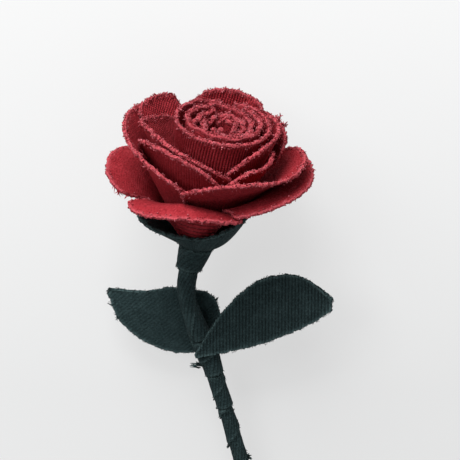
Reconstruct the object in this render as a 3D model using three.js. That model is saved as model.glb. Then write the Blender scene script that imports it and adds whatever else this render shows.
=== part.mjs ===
// A handmade rose of knitted cotton on a wrapped wire stem, lying on its back.
//
// It is drawn as the photo shows it: X right, Y up the picture and Z towards
// the camera, with the foot of the head at the origin. At the end the whole
// rose is turned to lie as it rests on a table. All sizes are in millimetres
// and all angles in degrees.
//
// Every petal is one cloth sheet cut from a surface of revolution about the
// head's own axis. Its foot is glued to a wound core, and it leaves the core
// at its own height, so that each petal wraps round the ones inside it.

import * as THREE from 'three';

// Cloth
const CLOTH = 0.8; // one layer of knit
const GLUE_GAP = 0.25; // between a glued foot and what carries it

// Head. The petal and calyx sizes below are drawn for a head 70 wide, of cloth
// 0.8 thick, on a core of radius 4.6, and follow when one of these is changed.
const DRAWN = { width: 70, cloth: 0.8, core: 4.6, stem: 156 };
const HEAD_WIDTH = 70;
const HEAD_LEAN = 10; // to the right in the picture
const HEAD_NOD = 30; // towards the camera
const HEAD_REST = { radius: 31, height: 25 }; // the back, pressed flat by the table
const CORE_FOOT = -0.7;
const CORE_TOP = 21;
const CORE_RADIUS = 4.6; // at height 0
const CORE_SLOPE = 0.27; // radius gained per millimetre of height

// Bud roll, a strip wound from the outside in
const ROLL_CLOTH = 1.2;
const ROLL_TURNS = 3.6;
const ROLL_OUTER = 12.9;
const ROLL_INNER = 3.4;
const ROLL_WAIST = 0.68; // how much narrower the roll is at its foot
const ROLL_TOP = 45.2;
const BUD_SHIFT = 1.8; // the bud leans a little to the right of the core
const TUFT_RADIUS = 1.4;

// Calyx
const SEPALS = 3;
const SEPAL_TURN = -35; // where the first sepal points
const SEPAL_NOTCH = 0.49; // how much of the length the cuts take
const SEPAL_DRAW = 0.1; // how far the cloth between two is drawn in
const SEPAL_LIFT = 1.8; // and up
const CALYX_FOOT = { radius: 5.3, height: -1.6 };
const CALYX_TIP = { radius: 19.6, height: 13.4 };
const CALYX_SIDE = { turn: 25, radius: -1.9, height: 4.2 }; // higher and closer here

// Stem
const STEM_NOD = 15; // the stem's top leans towards the camera
const WIRE_RADIUS = 1.0;
const WIRE_IN_HEAD = 12;
const WIRE_GAP = 0.3; // between the wire and what it runs through
const WRAP_GAP = 0.3; // between one length of strip and the next
const STEM_LENGTH = 156; // below the foot of the head

// The lengths of strip wound on the stem, from the head down. Each ends a
// share of the way down the stem, and `radii` runs from its top to its foot.
const WRAPS = [
  { name: 'stem_collar', end: 0.072, radii: [6.1, 5.2, 4.1] },
  { name: 'stem_wrap_upper', end: 0.232, radii: [3.1, 3.1, 3.6] },
  { name: 'stem_wrap_middle', end: 0.314, radii: [3.9, 3.7, 3.1] },
  { name: 'stem_wrap_lower', end: 0.391, radii: [2.75, 2.7, 2.9] },
  { name: 'stem_wrap_foot', end: 1, radii: [2.5, 2.6, 2.5], step: 12 },
];
const LEAF_SEAT = Math.max(WRAPS[1].radii[2], WRAPS[2].radii[0]); // where they meet
const LEAF_PLACE = WRAPS[1].end;

// The petals, from the bud outwards. `sides` are their edges as angles round
// the head, 0 to the right and -90 to the camera. `rim` and `height` give the
// rim at the first side, the middle and the second side, and `bend` how late
// between them the change comes. `foot` is the height where the petal leaves
// the core and `waist` its width there. `leave` is the slope out from upright
// and the length of the first stretch, `flare` the slope at the rim, as for
// the rim itself, and `reach` how far in from the rim that slope is felt.
// `fold` is a crease that stands out at a place across, and `wave` a wave of
// the rim: its size, turns and phase.
const PETALS = [
  {
    name: 'bud_wrap',
    sides: [-265, 80],
    rim: [14.6, 15.2, 16.4],
    height: [45.6, 44.2, 45.2],
    foot: 21.2,
    leave: [38, 1.5],
    flare: [3, 18, 15],
    reach: 5,
    waist: 1,
    bend: 1.6,
    shift: 1.8,
  },
  {
    name: 'petal_back_inner',
    sides: [45, 122],
    rim: [20.2, 20.2, 19.9],
    height: [44, 46.9, 43.2],
    foot: 18.1,
    leave: [46, 7.5],
    flare: [35, 3, 20],
    reach: 14.5,
    waist: 0.66,
    shift: 1.5,
  },
  {
    name: 'petal_right_inner',
    sides: [-75, 50],
    rim: [17.5, 19, 20.4],
    height: [34.4, 44.7, 43],
    foot: 16.8,
    leave: [47.5, 2.3],
    flare: [30, 15, 0],
    reach: 9.5,
    waist: 0.53,
    shift: 1.5,
  },
  {
    name: 'petal_left_inner',
    sides: [-229, -62.5],
    rim: [20.4, 22.6, 19.6],
    height: [38.6, 42.6, 33.5],
    foot: 15.8,
    leave: [65, 3.8],
    flare: [25, 28, 33],
    reach: 10,
    waist: 0.56,
    bend: 1.8,
    fold: [-0.43, 0.15, 2.2],
  },
  {
    name: 'petal_right_mid',
    sides: [-73, -20],
    rim: [22.2, 23.1, 21.5],
    height: [31.8, 38.1, 42.3],
    foot: 13.8,
    leave: [54, 4.4],
    flare: [35, 29, 11],
    reach: 8.5,
    waist: 0.5,
  },
  {
    name: 'petal_left_mid',
    sides: [-170, -76],
    rim: [24.3, 24.9, 23.6],
    height: [34, 41.1, 32.7],
    foot: 12.8,
    leave: [52, 6],
    flare: [51, 29, 54],
    reach: 5.5,
    waist: 0.45,
  },
  {
    name: 'petal_back_right',
    sides: [-2, 80],
    rim: [23.6, 23.7, 23],
    height: [38.4, 42, 40.2],
    foot: 10.9,
    leave: [73, 1],
    flare: [30, 15, 21],
    reach: 19.5,
    waist: 0.5,
  },
  {
    name: 'petal_back_left',
    sides: [122, 161],
    rim: [26, 28, 27.9],
    height: [39.6, 41.2, 39.3],
    foot: 9,
    leave: [31, 5.5],
    flare: [17, 28, 33],
    reach: 10,
    waist: 0.58,
  },
  {
    name: 'petal_left_wrap',
    sides: [-211, -103.5],
    rim: [30, 29.3, 26.2],
    height: [40, 38, 30.5],
    foot: 5.6,
    leave: [40, 11.6],
    flare: [35, 46, 61],
    reach: 13,
    waist: 0.45,
    bend: 1.6,
  },
  {
    name: 'petal_right_wrap',
    sides: [-105, 35],
    rim: [27.4, 31.3, 28.1],
    height: [31.5, 38.3, 31],
    foot: 8.2,
    leave: [27.8, 9.4],
    flare: [40, 61, 24],
    reach: 6.7,
    waist: 0.36,
    bend: 2,
    wave: [1.2, 5, 4.32],
  },
  {
    name: 'petal_left_outer',
    sides: [140, 210],
    rim: [29.5, 33.5, 31.1],
    height: [20.6, 22.5, 20.1],
    foot: 3.7,
    leave: [59, 12.7],
    flare: [83, 87, 80],
    reach: 19.5,
    waist: 0.64,
  },
  {
    name: 'petal_right_outer',
    sides: [-67, 33.5],
    rim: [30.5, 34.2, 32.8],
    height: [24.9, 31.2, 30.9],
    foot: 4.7,
    leave: [29.5, 17.4],
    flare: [96, 88, 46],
    reach: 9.8,
    waist: 0.36,
  },
  {
    name: 'petal_back_left_outer',
    sides: [92, 145],
    rim: [31.5, 36, 35],
    height: [23.5, 25.5, 23.5],
    foot: 2.6,
    leave: [33, 16],
    flare: [83, 44, 26],
    reach: 13,
    waist: 0.56,
  },
  {
    name: 'petal_back_right_outer',
    sides: [36, 88],
    rim: [32, 35.3, 33.4],
    height: [23.4, 25.8, 23.3],
    foot: 2,
    leave: [20, 17.2],
    flare: [71, 64, 61],
    reach: 18.6,
    waist: 0.6,
  },
  {
    name: 'petal_front_outer',
    sides: [-148, -58.5],
    rim: [29.8, 31.2, 29.2],
    height: [17, 23.2, 22.8],
    foot: 0.9,
    leave: [40, 16.4],
    flare: [102, 127, 87],
    reach: 13.5,
    waist: 0.84,
    bend: 1.2,
    wave: [1.2, 3.2, 0],
  },
];

// A leaf lies between two edge lines, from where it is bound to the stem to
// its tip. X and Y are as in the photo, along the leaning stem.
const LEAVES = [
  {
    name: 'leaf_left',
    side: -1,
    rise: 1.5,
    upper: [[8, -29], [5, -22], [-8, -19.2], [-18.5, -20.8], [-30.4, -20.2]],
    lower: [[3, -42], [-8, -42.4], [-17.8, -38.8], [-26.8, -31], [-30.4, -21.4]],
  },
  {
    name: 'leaf_right',
    side: 1,
    rise: 4.5,
    upper: [[-1, -40.2], [9, -24.5], [21, -13.6], [34, -11.8], [45.4, -19.4]],
    lower: [[-0.6, -41.4], [12, -38.8], [25, -34.8], [38.6, -28], [44.8, -23.2]],
  },
];

const RED = { color: 0x9c2732, roughness: 0.95, metalness: 0 };
const DARK_RED = { color: 0x84202b, roughness: 0.95, metalness: 0 };
const GREEN = { color: 0x27403d, roughness: 0.95, metalness: 0 };
const STEEL = { color: 0x8d8f92, roughness: 0.4, metalness: 1 };

const radians = THREE.MathUtils.degToRad;
const grown = HEAD_WIDTH / DRAWN.width;

const thickened = Math.max(CLOTH - DRAWN.cloth * grown, 0);

// How much further out a layer of the head lies than it is drawn.
function pushed(layer) {
  return (CORE_RADIUS - DRAWN.core) * grown + layer * thickened;
}

// A value that is given at -1, 0 and 1.
function between([first, middle, last], u, bend = 1) {
  const end = u < 0 ? first : last;
  return middle + (end - middle) * Math.abs(u) ** bend;
}

// The radius of the wound core at a height.
function coreRadius(height) {
  return CORE_RADIUS + CORE_SLOPE * height;
}

// A point on a cubic curve in the plane of radius and height.
function cubic(points, t) {
  const weights = [(1 - t) ** 3, 3 * t * (1 - t) ** 2, 3 * t * t * (1 - t), t ** 3];
  const mix = (axis) => points.reduce((sum, point, k) => sum + weights[k] * point[axis], 0);
  return [mix(0), mix(1)];
}

// The middle of a petal's cloth: u runs from side to side, v from foot to rim.
function petalSurface(petal) {
  const { sides, rim, height, foot, leave, flare, reach, waist = 0.6, bend = 2.2 } = petal;
  const middle = radians((sides[0] + sides[1]) / 2);
  const half = radians((sides[1] - sides[0]) / 2);
  const slope = radians(leave[0]);
  const clearance = GLUE_GAP + (CLOTH / 2) * (Math.cos(slope) + CORE_SLOPE * Math.sin(slope));
  const layer = PETALS.indexOf(petal);
  const start = [coreRadius(foot) * grown + clearance, foot * grown];
  const first = [
    start[0] + leave[1] * grown * Math.sin(slope) + 0.8 * layer * thickened,
    start[1] + leave[1] * grown * Math.cos(slope),
  ];
  return (u, v) => {
    const cut = v * (1 - (petal.corner ?? 0.07) * Math.abs(u) ** 10);
    const spread = waist + (1 - waist) * (1 - (1 - Math.min(cut / 0.6, 1)) ** 2);
    const angle = middle + half * spread * u;
    const out = radians(between(flare, u));
    const [place, width, fold] = petal.fold ?? [0, 1, 0];
    const [size, turns, phase] = petal.wave ?? [0, 1, 0];
    const bulge = fold * Math.exp(-(((u - place) / width) ** 2)) * cut * cut;
    const wave = size * Math.sin(turns * u + phase) * cut * cut;
    const end = [between(rim, u, bend) * grown + pushed(layer), between(height, u, bend) * grown];
    const second = [end[0] - reach * grown * Math.sin(out), end[1] - reach * grown * Math.cos(out)];
    const [span, rise] = cubic([start, first, second, end], cut);
    const radius = span + bulge * grown;
    const shift = (petal.shift ?? 0) * grown * Math.min(cut / 0.5, 1);
    const point = new THREE.Vector3(
      radius * Math.cos(angle) + shift,
      radius * Math.sin(angle),
      rise + wave * grown,
    );
    const lift = tableLevel + CLOTH / 2 - point.dot(tableUp);
    return lift > 0 ? point.addScaledVector(tableUp, lift) : point;
  };
}

// The bud's strip: u runs along it, from the outside in, and v up it.
function rollSurface(u, v) {
  const along = (u + 1) / 2;
  const angle = radians(60) - along * ROLL_TURNS * 2 * Math.PI;
  const narrow = ROLL_WAIST + (1 - ROLL_WAIST) * Math.sin((v * Math.PI) / 2);
  const radius = (ROLL_OUTER + (ROLL_INNER - ROLL_OUTER) * along) * narrow * grown;
  const foot = CORE_TOP * grown + WRAP_GAP + ROLL_CLOTH / 5;
  const top = (ROLL_TOP + 0.8 * Math.sin(2.3 * angle)) * grown;
  return new THREE.Vector3(
    BUD_SHIFT * grown * Math.min(v / 0.5, 1) + radius * Math.cos(angle),
    radius * Math.sin(angle),
    foot + (top - foot) * v,
  );
}

// The calyx: u runs all the way round, v from the neck to the sepals' tips.
function calyxSurface(u, v) {
  const angle = Math.PI * u;
  const turn = (SEPALS * (angle - radians(SEPAL_TURN))) / 2;
  const dip = Math.abs(Math.sin(turn)) ** 1.8;
  const side = Math.cos(angle - radians(CALYX_SIDE.turn));
  const start = [CALYX_FOOT.radius * grown + pushed(0), CALYX_FOOT.height * grown];
  const end = [
    (CALYX_TIP.radius + CALYX_SIDE.radius * side) * grown + pushed(PETALS.length * 0.4),
    (CALYX_TIP.height + CALYX_SIDE.height * side) * grown,
  ];
  const first = [start[0] + 4.4 * grown, start[1] + (3.2 - 0.5 * side) * grown];
  const second = [end[0] - 7.5 * grown, end[1] - (6.9 + 1.8 * side) * grown];
  const [span, rise] = cubic([start, first, second, end], v * (1 - SEPAL_NOTCH * dip));
  const radius = span * (1 - SEPAL_DRAW * dip * v);
  const height = rise + SEPAL_LIFT * dip * v * grown;
  return new THREE.Vector3(radius * Math.cos(angle), radius * Math.sin(angle), height);
}

// A leaf's cloth: u runs from the lower edge to the upper, v to the tip.
function leafSurface(leaf) {
  const line = (points) => new THREE.CatmullRomCurve3(
    points.map(([x, y]) => new THREE.Vector3(x, y + LEAF_PLACE * (DRAWN.stem - STEM_LENGTH), 0)),
  );
  const upper = line(leaf.upper);
  const lower = line(leaf.lower);
  const seat = LEAF_SEAT + GLUE_GAP + CLOTH / 2;
  return (u, v) => {
    const point = lower.getPoint(v).lerp(upper.getPoint(v), (u + 1) / 2);
    const fold = 0.9 * Math.sin(Math.PI * v) * (1 - Math.abs(u));
    const wave = 0.6 * v * v * Math.sin(4 * v + 2 * u);
    point.z = STEM_PLANE + leaf.side * (seat + leaf.rise * v * v - fold) + wave;
    return point;
  };
}

// A closed solid through loops of points. Point k of a loop lies opposite
// point n - 1 - k, and the ends are closed between such pairs.
function loft(loops, closed) {
  const count = loops[0].length;
  const index = [];
  const quad = (a, b, c, d) => index.push(a, b, c, a, c, d);
  const last = closed ? loops.length : loops.length - 1;
  for (let i = 0; i < last; i++) {
    const here = i * count;
    const next = ((i + 1) % loops.length) * count;
    for (let k = 0; k < count; k++) {
      const k1 = (k + 1) % count;
      quad(here + k, next + k, next + k1, here + k1);
    }
  }
  if (!closed) {
    const end = (loops.length - 1) * count;
    for (let k = 0; k < count / 2 - 1; k++) {
      quad(k, k + 1, count - 2 - k, count - 1 - k);
      quad(end + k, end + count - 1 - k, end + count - 2 - k, end + k + 1);
    }
  }
  const geometry = new THREE.BufferGeometry();
  const positions = loops.flat().flatMap((point) => point.toArray());
  geometry.setAttribute('position', new THREE.Float32BufferAttribute(positions, 3));
  geometry.setIndex(index);
  if (signedVolume(geometry) < 0) {
    for (let i = 0; i < index.length; i += 3) [index[i], index[i + 1]] = [index[i + 1], index[i]];
    geometry.setIndex(index);
  }
  geometry.computeVertexNormals();
  return geometry;
}

// A sheet of cloth round a surface, half its thickness to either side.
function sheet(surface, across, along, thickness, closed = false) {
  const step = 1e-3;
  const loops = [];
  for (let i = 0; i < (closed ? across : across + 1); i++) {
    const u = -1 + (2 * i) / across;
    const front = [];
    const back = [];
    for (let j = 0; j <= along; j++) {
      const v = j / along;
      const low = Math.max(v - step, 0);
      const over = surface(u + step, v).sub(surface(u - step, v));
      const up = surface(u, Math.min(v + step, 1)).sub(surface(u, low));
      const normal = over.cross(up).normalize().multiplyScalar(thickness / 2);
      const point = surface(u, v);
      front.push(point.clone().add(normal));
      back.unshift(point.sub(normal));
    }
    loops.push([...front, ...back]);
  }
  return loft(loops, closed);
}

// A sleeve of strip round a length of the stem, with a bore for the wire.
function sleeve(path, from, to, radii, step = 3.5) {
  const sides = 14;
  const steps = Math.ceil((to - from) / step);
  const length = path.getLength();
  const bore = WIRE_RADIUS + WIRE_GAP;
  const stations = [];
  for (let i = 0; i <= steps; i++) {
    const t = (from + ((to - from) * i) / steps) / length;
    const along = path.getTangentAt(t);
    const right = new THREE.Vector3(1, 0, 0).addScaledVector(along, -along.x).normalize();
    const front = new THREE.Vector3().crossVectors(right, along);
    stations.push({ point: path.getPointAt(t), right, front, radius: between(radii, (2 * i) / steps - 1) });
  }
  const at = (station, radius, angle) => station.point.clone()
    .addScaledVector(station.right, radius * Math.cos(angle))
    .addScaledVector(station.front, radius * Math.sin(angle));
  const loops = [];
  for (let k = 0; k < sides; k++) {
    const angle = (2 * Math.PI * k) / sides;
    const outside = stations.map((station) => at(station, station.radius, angle));
    const inside = stations.map((station) => at(station, bore, angle)).reverse();
    loops.push([...outside, ...inside]);
  }
  return loft(loops, true);
}

// The wound core, with a blind bore for the wire.
function coreGeometry() {
  const bore = WIRE_RADIUS + WIRE_GAP;
  const profile = [
    [0, WIRE_IN_HEAD + 1],
    [bore, WIRE_IN_HEAD + 1],
    [bore, CORE_FOOT * grown],
    [coreRadius(CORE_FOOT) * grown, CORE_FOOT * grown],
    [coreRadius(CORE_TOP) * grown, CORE_TOP * grown],
    [0, CORE_TOP * grown],
  ];
  const geometry = new THREE.LatheGeometry(profile.map(([x, y]) => new THREE.Vector2(x, y)), 28);
  return geometry.rotateX(Math.PI / 2);
}

// The strip's last few millimetres, twisted tight in the middle of the roll.
function tuftGeometry() {
  const foot = CORE_TOP * grown + WRAP_GAP;
  const top = (ROLL_TOP + 0.6) * grown;
  const profile = [
    [0, foot],
    [TUFT_RADIUS * ROLL_WAIST, foot],
    [TUFT_RADIUS, (foot + top) / 2],
    [TUFT_RADIUS, top - 0.5],
    [TUFT_RADIUS - 0.5, top],
    [0, top],
  ];
  const geometry = new THREE.LatheGeometry(profile.map(([x, y]) => new THREE.Vector2(x, y)), 12);
  geometry.rotateX(Math.PI / 2);
  const position = geometry.getAttribute('position');
  for (let i = 0; i < position.count; i++) {
    const share = Math.min((position.getZ(i) - foot) / (top - foot) / 0.5, 1);
    position.setX(i, position.getX(i) + BUD_SHIFT * grown * share);
  }
  return geometry;
}

// Less than nothing where a solid's faces are inside out.
function signedVolume(geometry) {
  const position = geometry.getAttribute('position');
  const index = geometry.getIndex();
  const corner = (k) => new THREE.Vector3().fromBufferAttribute(position, index.getX(k));
  let volume = 0;
  for (let k = 0; k < index.count; k += 3) {
    volume += corner(k).dot(corner(k + 1).cross(corner(k + 2))) / 6;
  }
  return volume;
}

function addMesh(parent, name, geometry, look) {
  const mesh = new THREE.Mesh(geometry, new THREE.MeshStandardMaterial(look));
  mesh.name = name;
  parent.add(mesh);
}

// The stem's line starts inside the head, runs straight down the head's own
// axis, and bends below the collar.
const STEM_PLANE = -1.6;
const headTurn = new THREE.Quaternion()
  .setFromEuler(new THREE.Euler(radians(HEAD_NOD - 90), 0, radians(-HEAD_LEAN), 'ZYX'));
const stemTurn = new THREE.Quaternion()
  .setFromEuler(new THREE.Euler(radians(STEM_NOD), 0, 0));
const headAxis = new THREE.Vector3(0, 0, 1)
  .applyQuaternion(headTurn)
  .applyQuaternion(stemTurn.clone().invert());
const stemPoint = (share, x) => new THREE.Vector3(x, -STEM_LENGTH * share, STEM_PLANE);
const stemPath = new THREE.CatmullRomCurve3([
  headAxis.clone().multiplyScalar(WIRE_IN_HEAD),
  headAxis.clone().multiplyScalar(WIRE_IN_HEAD / 2),
  new THREE.Vector3(0, 0, 0),
  headAxis.clone().multiplyScalar(CALYX_FOOT.height * grown - 1.5),
  stemPoint(0.073, -3),
  stemPoint(0.125, -3.7),
  stemPoint(0.178, -1.6),
  stemPoint(0.275, 4),
  stemPoint(0.504, 14.4),
  stemPoint(0.75, 24.9),
  stemPoint(1, 33),
]);
stemPath.arcLengthDivisions = 600;

// The table touches the stem's foot and the back of the head. Its slope is the
// angle between those two points, and its plane is kept in the head's frame.
const headBack = new THREE.Vector3(0, HEAD_REST.radius, HEAD_REST.height)
  .multiplyScalar(grown)
  .applyQuaternion(headTurn);
const stemFoot = stemPoint(1, 0)
  .setZ(STEM_PLANE - WRAPS.at(-1).radii[2])
  .applyQuaternion(stemTurn);
const tableSlope = Math.atan2(headBack.z - stemFoot.z, headBack.y - stemFoot.y);
const tableUp = new THREE.Vector3(0, -Math.sin(tableSlope), Math.cos(tableSlope));
const tableLevel = headBack.dot(tableUp);
tableUp.applyQuaternion(headTurn.clone().invert());

function addHead(rose) {
  const head = new THREE.Group();
  head.quaternion.copy(headTurn);
  rose.add(head);
  addMesh(head, 'head_core', coreGeometry(), DARK_RED);
  addMesh(head, 'bud_roll', sheet(rollSurface, 76, 3, ROLL_CLOTH), RED);
  addMesh(head, 'bud_tuft', tuftGeometry(), RED);
  for (const petal of PETALS) {
    const across = Math.round(5 + (petal.sides[1] - petal.sides[0]) / 13);
    addMesh(head, petal.name, sheet(petalSurface(petal), across, 8, CLOTH), RED);
  }
  addMesh(head, 'calyx', sheet(calyxSurface, 45, 5, CLOTH, true), GREEN);
}

function addStem(rose) {
  const stem = new THREE.Group();
  stem.quaternion.copy(stemTurn);
  rose.add(stem);
  const section = new THREE.Shape().absarc(0, 0, WIRE_RADIUS, 0, 2 * Math.PI);
  const wire = new THREE.ExtrudeGeometry(section, {
    steps: 48,
    curveSegments: 4,
    extrudePath: stemPath,
  });
  addMesh(stem, 'stem_wire', wire, STEEL);
  const length = stemPath.getLength();
  const top = WIRE_IN_HEAD - CALYX_FOOT.height * grown + CLOTH / 2 + 1.5 * WRAP_GAP;
  let start = top;
  for (const wrap of WRAPS) {
    const end = WIRE_IN_HEAD + (length - WIRE_IN_HEAD) * wrap.end;
    addMesh(stem, wrap.name, sleeve(stemPath, start, end, wrap.radii, wrap.step), GREEN);
    start = end + WRAP_GAP;
  }
  for (const leaf of LEAVES) {
    addMesh(stem, leaf.name, sheet(leafSurface(leaf), 10, 14, CLOTH), GREEN);
  }
}

// Lays the rose on the table, its foot at height 0 and its box centred.
function layDown(rose) {
  rose.rotation.x = -tableSlope;
  rose.updateMatrixWorld(true);
  const box = new THREE.Box3().setFromObject(rose, true);
  const middle = box.getCenter(new THREE.Vector3());
  rose.position.set(-middle.x, -middle.y, -box.min.z);
}

const rose = new THREE.Group();
addHead(rose);
addStem(rose);
layDown(rose);
export default rose;
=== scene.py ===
# %% [markdown]
# # A handmade rose of knitted cotton
#
# The real thing is a rose cut from old cotton jersey and glued by hand. Red
# petals with raw, curling edges wrap round a wound bud. Dark green cloth makes
# the calyx, the two leaves and the strips that are wound on the wire stem.
#
# A look like this could be sculpted, but every shape here is worked out with
# numpy instead: each piece is a function of two numbers, so a petal can be
# changed by changing one line of a list.

import bpy
import numpy as np
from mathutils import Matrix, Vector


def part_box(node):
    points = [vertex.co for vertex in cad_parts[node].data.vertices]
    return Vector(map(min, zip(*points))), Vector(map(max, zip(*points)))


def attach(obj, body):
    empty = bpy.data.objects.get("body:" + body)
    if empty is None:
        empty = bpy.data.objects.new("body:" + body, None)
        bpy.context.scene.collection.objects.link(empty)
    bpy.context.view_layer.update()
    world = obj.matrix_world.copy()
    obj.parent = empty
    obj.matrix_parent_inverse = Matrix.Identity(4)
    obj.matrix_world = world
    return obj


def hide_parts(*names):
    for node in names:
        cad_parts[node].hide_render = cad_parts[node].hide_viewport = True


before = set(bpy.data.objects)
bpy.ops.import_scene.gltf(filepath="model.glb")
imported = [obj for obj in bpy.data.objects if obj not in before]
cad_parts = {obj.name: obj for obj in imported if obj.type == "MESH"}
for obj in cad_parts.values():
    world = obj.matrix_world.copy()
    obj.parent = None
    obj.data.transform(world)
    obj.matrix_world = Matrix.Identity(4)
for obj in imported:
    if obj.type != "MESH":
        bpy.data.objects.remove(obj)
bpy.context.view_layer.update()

# %% [markdown]
# ## The frame of the flower
#
# Petals are easiest to describe round the head's own axis, the stem and the
# leaves in the plane of the stem, and both meet at the foot of the head. The
# rose then lies on its back on the table. So there are three frames, and a
# matrix takes a point from each one to the table's. All lengths are in
# millimetres until a mesh is made.

# %% Three frames and how they meet
CLOTH = 0.8  # one layer of knit
GLUE_GAP = 0.25  # between a glued foot and what carries it
WRAP_GAP = 0.3  # between two wound lengths
HEAD_LEAN, HEAD_NOD, STEM_NOD = 10, 30, 15
HEAD_BACK = np.array([0, 31, 25])  # where the table presses the head flat
CORE_FOOT, CORE_TOP, CORE_RADIUS, CORE_SLOPE = -0.7, 21, 4.6, 0.27
STEM_LENGTH, STEM_PLANE, STEM_FOOT_RADIUS = 156, -1.6, 2.5


def turn_x(degrees):
    """The matrix that turns a point about X."""
    c, s = np.cos(np.radians(degrees)), np.sin(np.radians(degrees))
    return np.array([[1, 0, 0], [0, c, -s], [0, s, c]])


def turn_z(degrees):
    """The matrix that turns a point about Z."""
    c, s = np.cos(np.radians(degrees)), np.sin(np.radians(degrees))
    return np.array([[c, -s, 0], [s, c, 0], [0, 0, 1]])


head_turn = turn_z(-HEAD_LEAN) @ turn_x(HEAD_NOD - 90)
stem_turn = turn_x(STEM_NOD)
head_back = head_turn @ HEAD_BACK
stem_foot = stem_turn @ np.array([0, -STEM_LENGTH, STEM_PLANE - STEM_FOOT_RADIUS])
rise = head_back - stem_foot
table_slope = np.degrees(np.arctan2(rise[2], rise[1]))
lay = turn_x(-table_slope)
table_up = np.array([0, -np.sin(np.radians(table_slope)), np.cos(np.radians(table_slope))])
table_level = head_back @ table_up
print("the rose is tipped back by", round(table_slope, 2), "degrees to lie down")

# %% [markdown]
# The wound core is a plain cone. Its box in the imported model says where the
# foot of the head is, and everything else is placed from there.

# %% Where the foot of the head is
ring = np.radians(np.arange(28) * 360 / 28)
cone = [
    np.stack([r * np.cos(ring), r * np.sin(ring), 0 * ring + h], -1)
    for h, r in [(h, CORE_RADIUS + CORE_SLOPE * h) for h in (CORE_FOOT, CORE_TOP)]
]
cone = np.concatenate(cone) @ (lay @ head_turn).T
low, high = (1000 * np.array(corner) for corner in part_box("head_core"))
foot_place = (low + high - cone.min(0) - cone.max(0)) / 2


def to_table(points, turn=np.eye(3)):
    """Points of a frame, in the table's frame: turned, laid down and moved."""
    return points @ (lay @ turn).T + foot_place


def head_to_table(points):
    """Points of the head's frame, in the table's."""
    return to_table(points, head_turn)


print("the foot of the head is at", foot_place.round(2))

# %% [markdown]
# ## The camera
#
# The photo looks straight at the rose's front. Lying down, the rose keeps its
# shape and only the camera moves, so it looks down from above the table. It is
# placed in the photo's own frame and then turned with the same matrix as the
# rose. A long lens from 62 cm keeps the perspective as gentle as the photo's.

# %% Camera
PICTURE_MIDDLE = 230  # in pixels, of a picture 460 wide and 460 high
FOOT_PIXEL = (197, 238)  # where the photo shows the foot of the head
MM_PER_PIXEL = 0.335
VIEW_DISTANCE = 620

aim = np.array([PICTURE_MIDDLE - FOOT_PIXEL[0], FOOT_PIXEL[1] - PICTURE_MIDDLE, 0]) * MM_PER_PIXEL
camera_data = bpy.data.cameras.new("camera")
camera = bpy.data.objects.new("camera", camera_data)
bpy.context.scene.collection.objects.link(camera)
camera.location = to_table(aim + [0, 0, VIEW_DISTANCE]) / 1000
camera.rotation_euler = (np.radians(-table_slope), 0, 0)
camera_data.sensor_fit = "AUTO"
camera_data.angle = 2 * np.arctan(PICTURE_MIDDLE * MM_PER_PIXEL / VIEW_DISTANCE)
camera_data.clip_start = 0.01
bpy.context.scene.camera = camera
print("the camera is", round(camera.location.z, 3), "m above the table")

# %% [markdown]
# ## Table
#
# The photo has a seamless pale backdrop, nearly white beyond the head and a
# little greyer towards the near side and the right. More light would bleach
# the rose, so the table's material does it instead. The camera gets mostly a
# plain glow from it, and everything else sees plain paper. A share of the paper
# is left in what the camera sees, so the soft shadow stays.

# %% Table
scene = bpy.context.scene
scene.view_settings.view_transform = "Standard"


def add_object(name, mesh):
    """Puts a mesh in the scene, its object unturned at the origin."""
    piece = bpy.data.objects.new(name, mesh)
    scene.collection.objects.link(piece)
    return piece


def link(tree, source, target):
    """Feeds one socket into another, or a number into a socket."""
    if isinstance(source, (int, float)):
        target.default_value = source
    else:
        tree.links.new(source, target)


def calculate(tree, operation, first, second=0.0):
    """One Math node."""
    node = tree.nodes.new("ShaderNodeMath")
    node.operation = operation
    link(tree, first, node.inputs[0])
    link(tree, second, node.inputs[1])
    return node.outputs[0]


def excess(tree, value, limit, gain):
    """How far a value is above a limit, times a gain."""
    return calculate(tree, "MULTIPLY", calculate(tree, "SUBTRACT", value, limit), gain)


def clamped(tree, value, low, high):
    """A value kept between two others."""
    return calculate(tree, "MINIMUM", calculate(tree, "MAXIMUM", value, low), high)


def new_look(name, roughness, specular=0.5):
    """A new material: itself, its nodes, its shader, and the place on the piece."""
    look = bpy.data.materials.new(name)
    look.use_nodes = True
    tree = look.node_tree
    shader = tree.nodes["Principled BSDF"]
    shader.inputs["Roughness"].default_value = roughness
    shader.inputs["Specular IOR Level"].default_value = specular
    return look, tree, shader, tree.nodes.new("ShaderNodeTexCoord").outputs["Object"]


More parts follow.
